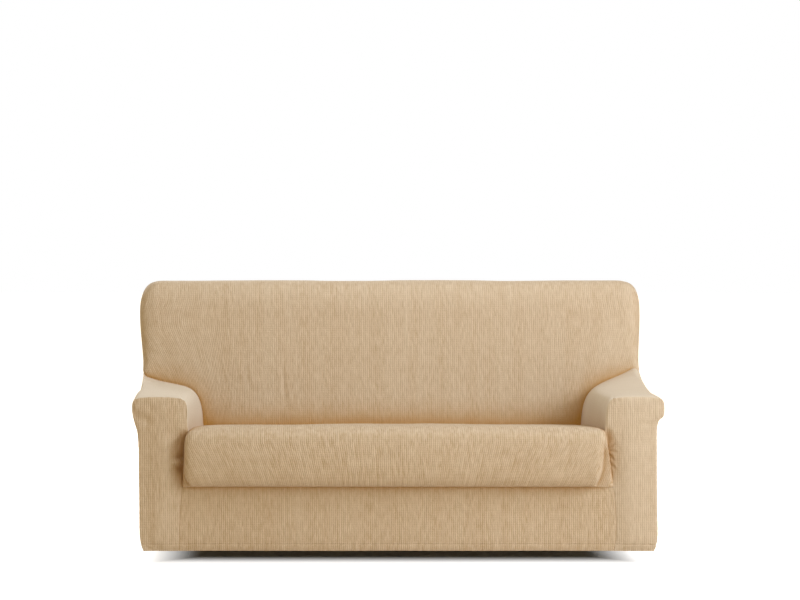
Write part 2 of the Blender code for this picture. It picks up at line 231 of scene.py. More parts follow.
# Spaces the rows near the seams evenly, so that no face folds over, and lays them back on the surface.
def evenRows(piece, surface, band, repeats):
    points, edges = readPoints(piece), readEdges(piece)
    count = np.bincount(edges.ravel(), minlength=len(points))[:, None]
    rim = [index for run in edgeRuns(piece, onRim) for index in run]
    tree = treeOf(points[rim])
    free = np.array([tree.find(point)[2] < band for point in points])
    free[rim] = False
    for _ in range(repeats):
        total = np.column_stack([np.bincount(edges.ravel(), points[edges[:, ::-1].ravel(), axis], len(points))
                                 for axis in range(3)])
        points[free] = (total / count)[free]
    for index in np.nonzero(free)[0]:
        points[index] = surface.find_nearest(points[index])[0]
    writePoints(piece, points)


# A row of points beside the seams lets the cloth roll into them, and three more carry the hem's stitches.
def addSeamRows(piece):
    faces = [polygon.vertices[:] for polygon in piece.data.polygons]
    surface = BVHTree.FromPolygons(readPoints(piece).tolist(), faces)
    openForEdit(piece, "FACE")
    bpy.ops.mesh.select_all(action="SELECT")
    bpy.ops.mesh.inset(thickness=seam["rollWidth"], depth=0, use_boundary=True, use_even_offset=False)
    closeEdit()
    evenRows(piece, surface, seam["evenBand"], seam["evenings"])
    if min(readPoints(piece)[:, 2]) < hemLevel + hem["panelBand"]:
        openForEdit(piece, "FACE")
        for step in (-1, 0, 1):
            bpy.ops.mesh.select_all(action="SELECT")
            level = stitchLevel + step * hem["grooveHalfWidth"]
            bpy.ops.mesh.bisect(plane_co=(0, 0, level), plane_no=(0, 0, 1))
        closeEdit()


# The weave follows each panel's own cut: the first number runs across the ribs and the second along them.
# On the inside back, the ribs run on round its sides and lean where the cloth is pulled.
backWeave = {
    "depth": 0.170, "slope": 0.12, "level": 0.40, "corner": 0.05, "pulledSide": (0.50, 0.85),
    "pulledLeft": 0.50, "pulledRight": 0.25, "pulledTop": (0.05, 0.20), "pulledLevel": 0.20,
}
seatWeave = {"nose": 0.530, "gathers": 0.75, "front": (0.72, 0.79)}
armWeave = {"top": -0.365, "over": (0.76, 0.84)}


def weaveBack(points, normals):
    across, depth, height = points.T
    slope = backWeave["slope"] * (height + backWeave["level"])
    past = np.maximum(0, depth + backWeave["depth"] - slope)
    aside, upward = np.abs(normals[:, 0]), np.abs(normals[:, 2])
    sideways = aside / (aside + upward + backWeave["corner"])
    left = smoothStep(-across, *backWeave["pulledSide"])
    right = smoothStep(across, *backWeave["pulledSide"])
    pulled = backWeave["pulledLeft"] * left - backWeave["pulledRight"] * right
    lean = pulled * smoothStep(-height, *backWeave["pulledTop"]) * (height + backWeave["pulledLevel"])
    return across + lean + np.sign(across) * past * sideways, height + past * (1 - sideways)


def weaveSeat(points, normals):
    across, depth, height = points.T
    low = np.maximum(0, -height - seatWeave["nose"])    # the nose pulls the ribs together at its foot
    gathered = 1 + seatWeave["gathers"] * low * smoothStep(-depth, *seatWeave["front"])
    return across * gathered, -(depth + height)


def weaveArm(points, normals):
    across, depth, height = points.T
    over = smoothStep(np.abs(across), *armWeave["over"])
    return depth, np.abs(across) + height + over * 2 * (armWeave["top"] - height)


def weaveFront(points, normals):
    return points[:, 0], points[:, 2]


def writeWeave(piece, weave):
    across, along = weave(readPoints(piece), readPoints(piece, "normal"))
    layer = piece.data.uv_layers.new(name="weave")
    corners = np.empty(len(piece.data.loops), int)
    piece.data.loops.foreach_get("vertex_index", corners)
    layer.data.foreach_set("uv", np.column_stack((across, along))[corners].ravel())


# Orders the edges that pass a test into runs of vertices, end to end.
def edgeRuns(piece, passes):
    mesh = bmesh.new()
    mesh.from_mesh(piece.data)
    left = {edge for edge in mesh.edges if passes(edge)}
    runs = []
    while left:
        edge = min(left, key=lambda e: e.index)
        left.discard(edge)
        run = [edge.verts[0], edge.verts[1]]
        for _ in range(2):
            while True:
                following = [e for e in run[-1].link_edges if e in left]
                if not following:
                    break
                left.discard(following[0])
                run.append(following[0].other_vert(run[-1]))
            run.reverse()
        runs.append([vertex.index for vertex in run])
    mesh.free()
    return runs


def isHem(point):
    return point.z < hemLevel + hem["edgeBand"]


def onRim(edge):
    return len(edge.link_faces) == 1


def onSeam(edge):
    return onRim(edge) and not all(isHem(vertex.co) for vertex in edge.verts)


def onStitchLine(edge):
    return all(abs(vertex.co.z - stitchLevel) < cloth["merge"] for vertex in edge.verts)


# Each fold is a soft trough or ridge along a line drawn on the front, the top or the side. It fades where
# the cloth turns away and at its ends, but an open one starts at full height. A view is given by the two
# axes of its plane, the axis that it looks along and the side it looks from.
views = {"front": (0, 2, 1, -1), "top": (0, 1, 2, 1), "side": (1, 2, 0, 0)}
foldShape = {"taper": 0.35, "shoulder": 0.35, "shoulderAt": 1.9, "turned": (0.15, 0.55)}


def foldHeights(points, normals, fold):
    first, second, facing, sign = views[fold.get("view", "front")]
    flat = points[:, [first, second]]
    path = np.array(fold["path"], float)
    steps = np.linalg.norm(np.diff(path, axis=0), axis=1)
    starts = lengthsAlong(path)
    nearest = np.full(len(flat), np.inf)
    along = np.zeros(len(flat))
    for index, step in enumerate(steps):
        direction = (path[index + 1] - path[index]) / step
        offset = flat - path[index]
        run = np.clip(offset @ direction, 0, step)
        distance = np.linalg.norm(offset - run[:, None] * direction, axis=1)
        closer = distance < nearest
        nearest[closer] = distance[closer]
        along[closer] = (starts[index] + run)[closer] / starts[-1]
    taper = smoothStep(1 - along, 0, foldShape["taper"])
    if not fold.get("open"):
        taper *= smoothStep(along, 0, foldShape["taper"])
    across = nearest / fold["width"]
    shoulder = fold.get("shoulder", foldShape["shoulder"])
    profile = np.exp(-across ** 2) - shoulder * np.exp(-(across - foldShape["shoulderAt"]) ** 2)
    toward = np.abs(normals[:, facing]) if sign == 0 else normals[:, facing] * sign
    return fold["height"] * profile * taper * smoothStep(toward, *foldShape["turned"])


def unevenness(points, sizes):
    heights = np.zeros(len(points))
    for index, point in enumerate(points):
        for wavelength, amount in sizes:
            heights[index] += amount * noise.noise(Vector(point) / wavelength)
    return heights


# Each panel with its folds. Its stretch amount says how smoothly it is stretched and how far its colour is
# painted paler, partly a painted highlight, "shaded" how strongly shade is painted into its crevices, and
# "clear" how far from the seams its folds reach their full depth.
panels = {
    "inside_back": {
        "flat": (1.98, 0.64), "area": 1.07,
        "sewnTo": ("outside_back", "arm_left", "arm_right", "seat"),
        "outward": (0, 0, 1), "spacing": 0.0065, "weave": weaveBack, "stretchAndHighlight": 0.1,
        "shaded": 1.45,
        "uneven": ((0.30, 0.0030), (0.09, 0.0008)), "clear": 0.012,
        "folds": (
            {"path": ((-0.545, -0.200), (-0.535, -0.235), (-0.510, -0.398)), "width": 0.007,
             "height": -0.0030},
            {"path": ((-0.396, -0.282), (-0.376, -0.470)), "width": 0.007, "height": -0.0026},
            {"path": ((-0.612, -0.012), (-0.604, -0.150)), "width": 0.008, "height": -0.0020},
            {"path": ((-0.372, -0.010), (-0.366, -0.140)), "width": 0.008, "height": -0.0016},
            {"path": ((-0.892, -0.050), (-0.906, -0.092)), "width": 0.005, "height": -0.0035},
            {"path": ((0.885, -0.012), (0.886, -0.070)), "width": 0.005, "height": -0.0035},
        ),
    },
    "seat": {
        "flat": (1.28, 0.73), "area": 0.91,
        "sewnTo": ("inside_back", "front_border",
                   "arm_left", "arm_right", "arm_front_left", "arm_front_right"),
        "outward": (0, 0, 1), "spacing": 0.0065, "weave": weaveSeat, "stretchAndHighlight": -0.4,
        "uneven": ((0.25, 0.0022), (0.08, 0.0008)), "clear": 0.004,
        "folds": (
            {"path": ((-0.716, -0.500), (-0.690, -0.483), (-0.655, -0.472)), "width": 0.005,
             "height": -0.0028, "clear": 0.003, "open": True},
            {"path": ((0.690, -0.478), (0.695, -0.535)), "width": 0.005, "height": -0.0022},
            {"path": ((-0.718, -0.636), (-0.700, -0.662)), "width": 0.005, "height": -0.0032, "clear": 0.003},
            {"path": ((-0.012, -0.495), (-0.006, -0.560), (-0.002, -0.650)), "width": 0.008,
             "height": -0.0014, "clear": 0.012},
            {"path": ((-0.650, -0.590), (-0.622, -0.662)), "width": 0.008, "height": -0.0013},
            {"path": ((-0.590, -0.600), (-0.565, -0.662)), "width": 0.008, "height": -0.0012},
            {"path": ((-0.500, -0.605), (-0.480, -0.662)), "width": 0.009, "height": -0.0011},
            {"path": ((0.580, -0.565), (0.548, -0.662)), "width": 0.009, "height": -0.0014},
            {"path": ((0.505, -0.575), (0.470, -0.662)), "width": 0.009, "height": -0.0013},
            {"path": ((0.425, -0.590), (0.398, -0.662)), "width": 0.009, "height": -0.0011},
            {"path": ((0.335, -0.600), (0.315, -0.662)), "width": 0.009, "height": -0.0010},
        ),
    },
    "arm_left": {
        "flat": (0.76, 0.77), "area": 0.51,
        "sewnTo": ("inside_back", "outside_back", "seat", "arm_front_left"),
        "outward": (0, 0, 1), "spacing": 0.006, "weave": weaveArm,
        "uneven": ((0.20, 0.0020), (0.07, 0.0006)), "clear": 0.012,
        "folds": (
            {"path": ((-0.725, -0.762), (-0.737, -0.700)), "view": "top", "width": 0.006,
             "height": -0.0014, "clear": 0.004, "open": True},
            {"path": ((-0.300, -0.470), (-0.200, -0.700), (-0.120, -0.840)), "view": "side",
             "width": 0.016, "height": -0.0016},
        ),
        "rounded": (0.5, 110), "stretchAndHighlight": 1.0,
    },
    "arm_right": {
        "flat": (0.76, 0.77), "area": 0.51,
        "sewnTo": ("inside_back", "outside_back", "seat", "arm_front_right"),
        "outward": (0, 0, 1), "spacing": 0.006, "weave": weaveArm,
        "uneven": ((0.20, 0.0020), (0.07, 0.0006)), "clear": 0.012,
        "folds": (
            {"path": ((0.727, -0.762), (0.735, -0.715)), "view": "top", "width": 0.005,
             "height": -0.0014, "clear": 0.004, "open": True},
            {"path": ((0.740, -0.762), (0.752, -0.720)), "view": "top", "width": 0.005,
             "height": -0.0012, "clear": 0.004, "open": True},
            {"path": ((-0.330, -0.500), (-0.260, -0.690), (-0.200, -0.830)), "view": "side",
             "width": 0.016, "height": -0.0016},
        ),
        "rounded": (0.5, 150), "stretchAndHighlight": 0.8,
    },
    "arm_front_left": {
        "flat": (0.172, 0.46), "area": 0.067,
        "sewnTo": ("arm_left", "seat", "front_border"),
        "outward": (0, -1, 0), "spacing": 0.004, "weave": weaveFront, "stretchAndHighlight": 0.1, "shaded": 0.8,
        "uneven": ((0.15, 0.0012), (0.05, 0.0004)), "clear": 0.001,
        "folds": (
            {"path": ((-0.700, -0.5955), (-0.772, -0.6010)), "width": 0.0070, "height": 0.0110,
             "clear": 0.002, "open": True, "shoulder": 0.0},
            {"path": ((-0.700, -0.5800), (-0.756, -0.5830)), "width": 0.008, "height": -0.0045,
             "clear": 0.002, "open": True, "shoulder": 0.0},
            {"path": ((-0.700, -0.6150), (-0.756, -0.6240)), "width": 0.008, "height": -0.0045,
             "clear": 0.002, "open": True, "shoulder": 0.0},
            {"path": ((-0.716, -0.396), (-0.713, -0.470)), "width": 0.004, "height": -0.0018},
            {"path": ((-0.724, -0.380), (-0.729, -0.407)), "width": 0.004, "height": -0.0015, "open": True},
            {"path": ((-0.738, -0.380), (-0.743, -0.402)), "width": 0.004, "height": -0.0013, "open": True},
            {"path": ((-0.885, -0.440), (-0.852, -0.455), (-0.822, -0.472)), "width": 0.014,
             "height": -0.0030, "clear": 0.008, "open": True},
            {"path": ((-0.727, -0.683), (-0.735, -0.701)), "width": 0.004, "height": -0.0022},
            {"path": ((-0.732, -0.736), (-0.738, -0.757)), "width": 0.004, "height": -0.0020},
            {"path": ((-0.858, -0.882), (-0.828, -0.890)), "width": 0.0035, "height": -0.0022},
        ),
    },
    "arm_front_right": {
        "flat": (0.172, 0.46), "area": 0.067,
        "sewnTo": ("arm_right", "seat", "front_border"),
        "outward": (0, -1, 0), "spacing": 0.004, "weave": weaveFront, "stretchAndHighlight": 0.3,
        "uneven": ((0.15, 0.0012), (0.05, 0.0004)), "clear": 0.001,
        "folds": (
            {"path": ((0.706, -0.554), (0.722, -0.545), (0.734, -0.532)), "width": 0.0040,
             "height": -0.0030, "open": True},
            {"path": ((0.706, -0.560), (0.728, -0.561), (0.748, -0.567)), "width": 0.0040,
             "height": -0.0026, "open": True},
            {"path": ((0.706, -0.567), (0.722, -0.580), (0.732, -0.596)), "width": 0.0040,
             "height": -0.0028, "open": True},
            {"path": ((0.712, -0.598), (0.728, -0.612), (0.737, -0.628)), "width": 0.0040,
             "height": -0.0026, "open": True},
            {"path": ((0.702, -0.468), (0.706, -0.505), (0.714, -0.545)), "width": 0.011,
             "height": -0.0040, "clear": 0.003},
            {"path": ((0.716, -0.384), (0.712, -0.408)), "width": 0.004, "height": -0.0018, "open": True},
            {"path": ((0.728, -0.382), (0.727, -0.402)), "width": 0.004, "height": -0.0016, "open": True},
            {"path": ((0.740, -0.380), (0.744, -0.397)), "width": 0.004, "height": -0.0014, "open": True},
            {"path": ((0.870, -0.462), (0.845, -0.470), (0.820, -0.468)), "width": 0.009,
             "height": -0.0020, "clear": 0.006},
        ),
    },
    "front_border": {
        "flat": (1.30, 0.195), "area": 0.25,
        "sewnTo": ("seat", "arm_front_left", "arm_front_right"),
        "outward": (0, -1, 0), "spacing": 0.005, "weave": weaveFront,
        "uneven": ((0.25, 0.0020), (0.08, 0.0006)), "clear": 0.012,
        "folds": (
            {"path": ((0.097, -0.690), (0.077, -0.868)), "width": 0.008, "height": -0.0018},
            {"path": ((0.229, -0.710), (0.239, -0.770)), "width": 0.008, "height": -0.0015},
            {"path": ((0.646, -0.706), (0.495, -0.791)), "width": 0.010, "height": -0.0018},
            {"path": ((0.684, -0.676), (0.712, -0.722)), "width": 0.004, "height": -0.0016, "clear": 0.002},
            {"path": ((0.698, -0.672), (0.722, -0.712)), "width": 0.004, "height": -0.0016, "clear": 0.002},
            {"path": ((0.738, -0.738), (0.724, -0.746)), "width": 0.004, "height": -0.0022, "clear": 0.001},
            {"path": ((0.742, -0.810), (0.728, -0.818)), "width": 0.004, "height": -0.0022, "clear": 0.001},
            {"path": ((-0.600, -0.690), (-0.640, -0.860)), "width": 0.010, "height": -0.0012},
            {"path": ((-0.250, -0.720), (-0.262, -0.850)), "width": 0.009, "height": -0.0011},
        ),
    },
}
rear = {
    "sliver": 1e-8, "grid": 0.009, "tooClose": 0.0015, "facing": 0.99, "weave": weaveFront,
    "uneven": ((0.35, 0.0020), (0.10, 0.0005)), "folds": (),
    "flat": (1.60, 0.79), "area": 1.22, "sewnTo": ("inside_back", "arm_left", "arm_right"),
}


# The rear panel is flat: its outline is filled by one face, which is then cut into an even grid.
def cutRearPanel(settings):
    cad = bmesh.new()
    cad.from_mesh(frame["nodes"]["outside_back"].data)
    bmesh.ops.remove_doubles(cad, verts=cad.verts, dist=cloth["merge"])
    cad.normal_update()
    rearmost = [face for face in cad.faces
                if face.normal.y > settings["facing"] and face.calc_area() > settings["sliver"]]
    corners = np.array([vertex.co[:] for vertex in {vertex for face in rearmost for vertex in face.verts}])
    cad.free()
    middle = (corners.min(axis=0) + corners.max(axis=0)) / 2
    angles = np.arctan2(corners[:, 2] - middle[2], corners[:, 0] - middle[0])
    corners = corners[np.argsort(-angles)]       # round the outline, so that the face looks to the rear
    mesh = bpy.data.meshes.new("outside_back_cloth")
    mesh.from_pydata(corners.tolist(), [], [list(range(len(corners)))])
    piece = newObject("outside_back_cloth", mesh)
    lowest, highest = corners.min(axis=0), corners.max(axis=0)
    openForEdit(piece, "FACE")
    for axis in (0, 2):
        direction = [float(axis == 0), 0.0, float(axis == 2)]
        for place in np.arange(lowest[axis], highest[axis], settings["grid"])[1:]:
            bpy.ops.mesh.select_all(action="SELECT")
            bpy.ops.mesh.bisect(plane_co=[place * part for part in direction], plane_no=direction)
    bpy.ops.mesh.select_all(action="SELECT")
    bpy.ops.mesh.remove_doubles(threshold=settings["tooClose"])
    closeEdit()
    return piece


def treeOf(points):
    tree = KDTree(len(points))
    for index, point in enumerate(points):
        tree.insert(point, index)
    tree.balance()
    return tree


# Away from its seams, the inner top edge of an arm is softly rounded.
rounding = {
    "away": (0.006, 0.070), "level": (-0.530, -0.470), "outer": (0.790, 0.840),
    "depth": (-0.770, -0.560), "least": 0.001,
}


def roundArm(piece, factor, repeats):
    points = readPoints(piece)
    rim = treeOf([points[index] for run in edgeRuns(piece, onSeam) for index in run])
    away = np.array([rim.find(point)[2] for point in points])
    weights = smoothStep(away, *rounding["away"]) * smoothStep(points[:, 2], *rounding["level"])
    inner = 1 - smoothStep(np.abs(points[:, 0]), *rounding["outer"])
    weights *= inner * smoothStep(points[:, 1], *rounding["depth"])
    group = piece.vertex_groups.new(name="rounded")
    for index in np.nonzero(weights > rounding["least"])[0]:
        group.add([int(index)], float(weights[index]), "REPLACE")
    applied(piece, "SMOOTH", factor=factor, iterations=repeats, vertex_group="rounded")
    piece.vertex_groups.clear()


# Each end of the seat's nose turns back to the arm front before it reaches the seam.
seatEnds = (
    {"side": 1, "levels": (-0.680, -0.6576, -0.640, -0.617, -0.600, -0.567, -0.530, -0.500),
     "reaches": (0.660, 0.6780, 0.6850, 0.690, 0.693, 0.6945, 0.692, 0.690),
     "roundness": 0.022, "front": -0.815, "strip": -0.7705, "starts": (0.515, 0.570)},
    {"side": -1, "levels": (-0.682, -0.674, -0.652, -0.640), "reaches": (0.694, 0.700, 0.7155, 0.7190),
     "roundness": 0.008, "front": -0.815, "strip": -0.7705, "starts": (0.625, 0.645)},
)


def tuckSeatEnd(piece, end):
    points = readPoints(piece)
    reach = np.interp(points[:, 2], end["levels"], end["reaches"])
    turn = np.clip((points[:, 0] * end["side"] - reach) / end["roundness"] + 1, 0, 1)
    level = end["strip"] + (end["front"] - end["strip"]) * np.sqrt(1 - turn ** 2)
    pull = np.maximum(0, level - points[:, 1]) * (turn > 0)
    points[:, 1] += pull * smoothStep(-points[:, 2], *end["starts"]) * (points[:, 1] < end["strip"])
    writePoints(piece, points)


sheets = {}
for nodeName, settings in panels.items():
    sheets[nodeName] = outerFace(nodeName, settings["outward"])
    applied(sheets[nodeName], "SUBSURF", levels=2, render_levels=2, boundary_smooth="PRESERVE_CORNERS")
    evenOut(sheets[nodeName], settings["spacing"])
    if "rounded" in settings:
        roundArm(sheets[nodeName], *settings["rounded"])
for end in seatEnds:
    tuckSeatEnd(sheets["seat"], end)
panels["outside_back"] = rear
sheets["outside_back"] = cutRearPanel(rear)
for nodeName, piece in sheets.items():
    addSeamRows(piece)
    writeWeave(piece, panels[nodeName]["weave"])
    # Each panel's stretch, which also sets how much paler its colour is painted.
    layer = piece.data.attributes.new("stretchAndHighlight", "FLOAT", "POINT")
    layer.data.foreach_set("value", np.full(len(piece.data.vertices), panels[nodeName].get("stretchAndHighlight", 0.0)))
print("panels cut")


# Every seam point meets its neighbours half way, so that no gap is left between two panels.
def closeSeams(pieces):
    knots = []
    for name, piece in pieces.items():
        points = readPoints(piece)
        for run in edgeRuns(piece, onSeam):
            knots.extend((points[index], name, index, step, len(run) - 1) for step, index in enumerate(run))
    tree = treeOf([knot[0] for knot in knots])
    closed = {name: readPoints(piece) for name, piece in pieces.items()}
    for point, name, index, _, _ in knots:
        met = []
        for _, order, _ in tree.find_range(point, seam["close"]):
            other, owner, _, step, last = knots[order]
            if owner == name:
                continue
            for beside in [order - 1] * (step > 0) + [order + 1] * (step < last):
                way = knots[beside][0] - other
                share = np.clip((point - other) @ way / (way @ way), 0, 1)
                met.append(other + way * share)
        if met:
            closed[name][index] = (point + min(met, key=lambda place: np.linalg.norm(place - point))) / 2
    for name, piece in pieces.items():
        writePoints(piece, closed[name])


closeSeams(sheets)

# The thread that draws the panels together, laid where they meet, and the stitches along the hem.
thread = {
    "radius": 0.0010, "under": 0.0003, "hiddenFrom": 0.5, "step": 0.004, "apart": 0.0035, "fewest": 4,
    "stitch": (0.0032, 0.0010, 0.0007), "pitch": 0.0050, "raised": 0.0002, "ahead": 0.002, "shortest": 0.0005,
    "colour": (0.620, 0.500, 0.355), "shade": (0.470, 0.355, 0.225), "twist": 900, "bump": 0.5,
    "relief": 0.0003, "roughness": 0.8, "specular": 0.3,
}

# Where panels meet, both move along one shared direction, so that the seam stays closed.
edgePoints = []
edgeNormals = []
edgeInwards = []
seamRunsOf = {}
stitchRunsOf = {}


# The way from each seam point into its own panel.
def inwardWays(piece, points, normals, runs):
    rim = np.zeros(len(points), bool)
    rim[[index for run in runs for index in run]] = True
    edges = readEdges(piece)
    ways = np.zeros_like(points)
    for near, far in edges.T, edges[:, ::-1].T:
        crossing = rim[near] & ~rim[far]
        np.add.at(ways, near[crossing], points[far[crossing]] - points[near[crossing]])
    ways -= normals * np.sum(ways * normals, axis=1)[:, None]
    return ways / np.maximum(np.linalg.norm(ways, axis=1), 1e-9)[:, None]


for nodeName, piece in sheets.items():
    points, normals = readPoints(piece), readPoints(piece, "normal")
    seamRunsOf[nodeName] = edgeRuns(piece, onSeam)
    stitchRunsOf[nodeName] = edgeRuns(piece, onStitchLine)
    inwards = inwardWays(piece, points, normals, seamRunsOf[nodeName])
    for run in seamRunsOf[nodeName]:
        edgePoints.extend(points[run])
        edgeNormals.extend(normals[run])
        edgeInwards.extend(inwards[run])
edgeTree = treeOf(edgePoints)


def othersAt(point, own):
    found = [index for _, index, _ in edgeTree.find_range(point, seam["near"])]
    return [index for index in found if edgeNormals[index] @ own < seam["sameWay"]]


def sharedNormal(point, own):
    total = Vector(own)
    others = othersAt(point, own)
    if others:
        total += Vector(np.mean([edgeNormals[index] for index in others], axis=0)).normalized()
    return np.array(total.normalized())


# How far each seam stands out as a corner: 0 where it is flat or hollow and 1 at a right angle.
edgeCorners = []
for point, own in zip(edgePoints, edgeNormals):
    others = othersAt(point, own)
    inward = np.mean([edgeInwards[index] @ own for index in others]) if others else 0.0
    edgeCorners.append(np.clip(-inward, 0, 1))


# How far a standing corner is rounded off at a seam point, and half the angle that it turns by. The top
# of the left arm is rounder.
def cornerAt(point):
    share = np.mean([edgeCorners[index] for _, index, _ in edgeTree.find_range(point, seam["even"])])
    share = max(share, seam["flattest"])
    softer = seam["softer"] * smoothStep(-point[0], *seam["softerSide"])
    softer *= smoothStep(point[2], *seam["softerTop"])
    return share * (seam["corner"] + softer), math.asin(share) / 2


# The top of the narrow strip beside the seat's right end runs on into the border without a visible seam.
def joinsFlush(point):
    side, top = seam["flushSide"], seam["flushTop"]
    return side[0] < point[0] < side[1] and top[0] < point[2] < top[1]


# Small puckers beside each seam, uneven along it, and the low lip behind the roll.
def addPuckers(heights, distance, place):
    along, row = seam["wobble"]
    wobble = np.array([noise.noise(Vector((step * along, distance[0] * row, 0))) for step in place])
    turn = 2 * math.pi * place / seam["puckerLength"] + seam["wobbleShift"] * wobble
    ripple = np.sin(turn) * (seam["wobbleLeast"] + np.abs(wobble))
    close = np.exp(-distance / seam["puckerReach"])
    close *= smoothStep(distance, seam["puckerFrom"], seam["rollWidth"] * 2)
    heights += seam["puckerDepth"] * ripple * close
    heights += seam["lip"] * np.exp(-((distance - seam["rollWidth"]) / seam["lipWidth"]) ** 2)


# The hem is fuller below its stitches, which lie in a groove and gather the cloth.
def addHem(heights, points, free):
    up = points[:, 2] - stitchLevel
    heights += hem["fullness"] * smoothStep(-up, 0, hem["fullFrom"]) * (points[:, 2] < stitchLevel)
    heights -= hem["grooveDepth"] * np.exp(-(up / (hem["grooveHalfWidth"] * hem["grooveShare"])) ** 2)
    along = points[:, 0] + points[:, 1]          # runs round the hem well enough for the gathers
    shift, drift = hem["gatherDrift"]
    gather = np.sin(2 * math.pi * along / hem["gatherLength"] + shift * np.sin(along * drift))
    heights += hem["gather"] * gather * np.exp(-np.abs(up) / hem["gatherReach"]) * free


def layFolds(piece, settings, runs):
    points, normals = readPoints(piece), readPoints(piece, "normal")
    seamPoints = [index for run in runs for index in run]
    tree = treeOf(points[seamPoints])
    inwards = inwardWays(piece, points, normals, runs)
    reaches, halves = np.array([cornerAt(points[index]) for index in seamPoints]).T
    places = np.concatenate([lengthsAlong(points[run]) for run in runs])
    distance = np.empty(len(points))
    nearest = np.empty(len(points), int)
    for index, point in enumerate(points):
        _, nearest[index], distance[index] = tree.find(point)
    free = smoothStep(distance, *seam["loose"])  # how far the cloth may leave the CAD's own surface
    heights = unevenness(points, settings["uneven"]) * free
    for fold in settings["folds"]:
        clear = smoothStep(distance, seam["foldFrom"], fold.get("clear", settings["clear"]))
        heights += foldHeights(points, normals, fold) * clear
    addPuckers(heights, distance, places[nearest])
    addHem(heights, points, free)
    reach = reaches[nearest]                     # how far a standing corner is rounded off
    radius = reach / np.tan(halves[nearest])
    turn = halves[nearest] * np.clip(1 - distance / reach, 0, 1)
    along = (reach - radius * np.sin(turn) - distance) * (turn > 0)
    moved = points + normals * (heights - radius * (1 - np.cos(turn)))[:, None]
    moved += inwards[np.array(seamPoints)[nearest]] * along[:, None]
    threadDrop = {}
    for order, index in enumerate(seamPoints):
        way = sharedNormal(points[index], normals[index])
        flush = joinsFlush(points[index])
        standing = min(1, reaches[order] / seam["corner"])
        if standing < thread["hiddenFrom"] and not flush:
            threadDrop[index] = way * thread["under"]
        depth = 0 if flush else seam["rollDepth"] * (1 - seam["shallower"] * standing)
        sunk = reaches[order] / math.tan(halves[order]) * (1 / math.cos(halves[order]) - 1)
        moved[index] = points[index] - way * (depth + sunk)
    writePoints(piece, moved)
    return threadDrop


threadDrops = {nodeName: layFolds(piece, panels[nodeName], seamRunsOf[nodeName])
               for nodeName, piece in sheets.items()}
closeSeams(sheets)
print("folds laid")

# How far each point lies inside a crevice between the cover's own parts: 0 in the open and near 1 in a
# crevice. The cloth's colour is darkened by it, as painted shade.
crevice = {
    "rays": 14, "reach": 0.20, "lift": 0.003, "spread": 8, "turn": 2.399963, "aside": (0.31, 0.52, 0.79),
}


def spreadOut(values, edges, times):
    count = np.bincount(edges.ravel(), minlength=len(values)).clip(1)
    for _ in range(times):
        total = np.bincount(edges[:, 0], values[edges[:, 1]], len(values))
        total += np.bincount(edges[:, 1], values[edges[:, 0]], len(values))
        values = 0.5 * values + 0.5 * total / count
    return values


def markCrevices(pieces):
    corners = []
    faces = []
    for piece in pieces:
        first = len(corners)
        corners.extend(readPoints(piece).tolist())
        faces.extend([[first + index for index in polygon.vertices] for polygon in piece.data.polygons])
    tree = BVHTree.FromPolygons(corners, faces)
    for piece in pieces:
        points, normals = readPoints(piece), readPoints(piece, "normal")
        side = np.cross(normals, crevice["aside"])
        side /= np.linalg.norm(side, axis=1)[:, None]
        other = np.cross(normals, side)
        starts = (points + normals * crevice["lift"]).tolist()
        closeness = np.zeros(len(points))
        spin = np.arange(len(points)) * crevice["turn"]    # a golden turn from each point to the next
        for ray in range(crevice["rays"]):
            share = (ray + 0.5) / crevice["rays"]
            angle = spin + ray * crevice["turn"]
            flat = math.sqrt(share)
            ways = normals * math.sqrt(1 - share) + side * (flat * np.cos(angle))[:, None]
            ways += other * (flat * np.sin(angle))[:, None]
            for index, (start, way) in enumerate(zip(starts, ways.tolist())):
                hit = tree.ray_cast(start, way, crevice["reach"])[3]
                if hit is not None:
                    closeness[index] += 1 - hit / crevice["reach"]
        closeness = spreadOut(closeness / crevice["rays"], readEdges(piece), crevice["spread"])
        # Each panel's own strength of the shade painted into its crevices.
        closeness *= panels[piece.name.removesuffix("_cloth")].get("shaded", 1.0)
        layer = piece.data.attributes.new("crevice", "FLOAT", "POINT")
        layer.data.foreach_set("value", closeness)


markCrevices([piece for nodeName, piece in sheets.items() if nodeName != "outside_back"])
print("crevices marked")


class Value:
    def __init__(self, finish, socket):
        self.finish = finish
        self.socket = socket

    def __add__(self, other):
        return self.finish.maths("ADD", self, other)

    def __sub__(self, other):
        return self.finish.maths("SUBTRACT", self, other)

    def __rsub__(self, other):
        return self.finish.maths("SUBTRACT", other, self)

    def __mul__(self, other):
        return self.finish.maths("MULTIPLY", self, other)

    __radd__ = __add__
    __rmul__ = __mul__


class Finish:
    def __init__(self, name):
        self.material = bpy.data.materials.new(name)
        self.material.use_nodes = True
        self.tree = self.material.node_tree
        self.tree.nodes.clear()

    def node(self, kind, settings=(), sockets=(), output=0):
        made = self.tree.nodes.new("ShaderNode" + kind)
        for name, value in dict(settings).items():
            setattr(made, name, value)
        for name, value in dict(sockets).items():
            if isinstance(value, Value):
                self.tree.links.new(value.socket, made.inputs[name])
            else:
                made.inputs[name].default_value = value
        return Value(self, made.outputs[output]) if made.outputs else None

    def maths(self, operation, first, second=0.0):
        return self.node("Math", {"operation": operation}, {0: first, 1: second})

    def mixColours(self, share, first, second):
        return self.node("Mix", {"data_type": "RGBA"}, {0: share, 6: first, 7: second}, 2)

    def noise(self, vector, scale, detail):
        return self.node("TexNoise", {}, {"Vector": vector, "Scale": scale, "Detail": detail})

    def longNoise(self, vector, scale, stretch, detail):
        longer = self.node("Mapping", {"vector_type": "POINT"}, {"Vector": vector, "Scale": (1, stretch, 1)})
        return self.noise(longer, scale, detail)

    def shade(self, **sockets):
        shader = self.node("BsdfPrincipled", {}, {name.replace("_", " "): v for name, v in sockets.items()})
        self.node("OutputMaterial", {}, {"Surface": shader})
        return self.material


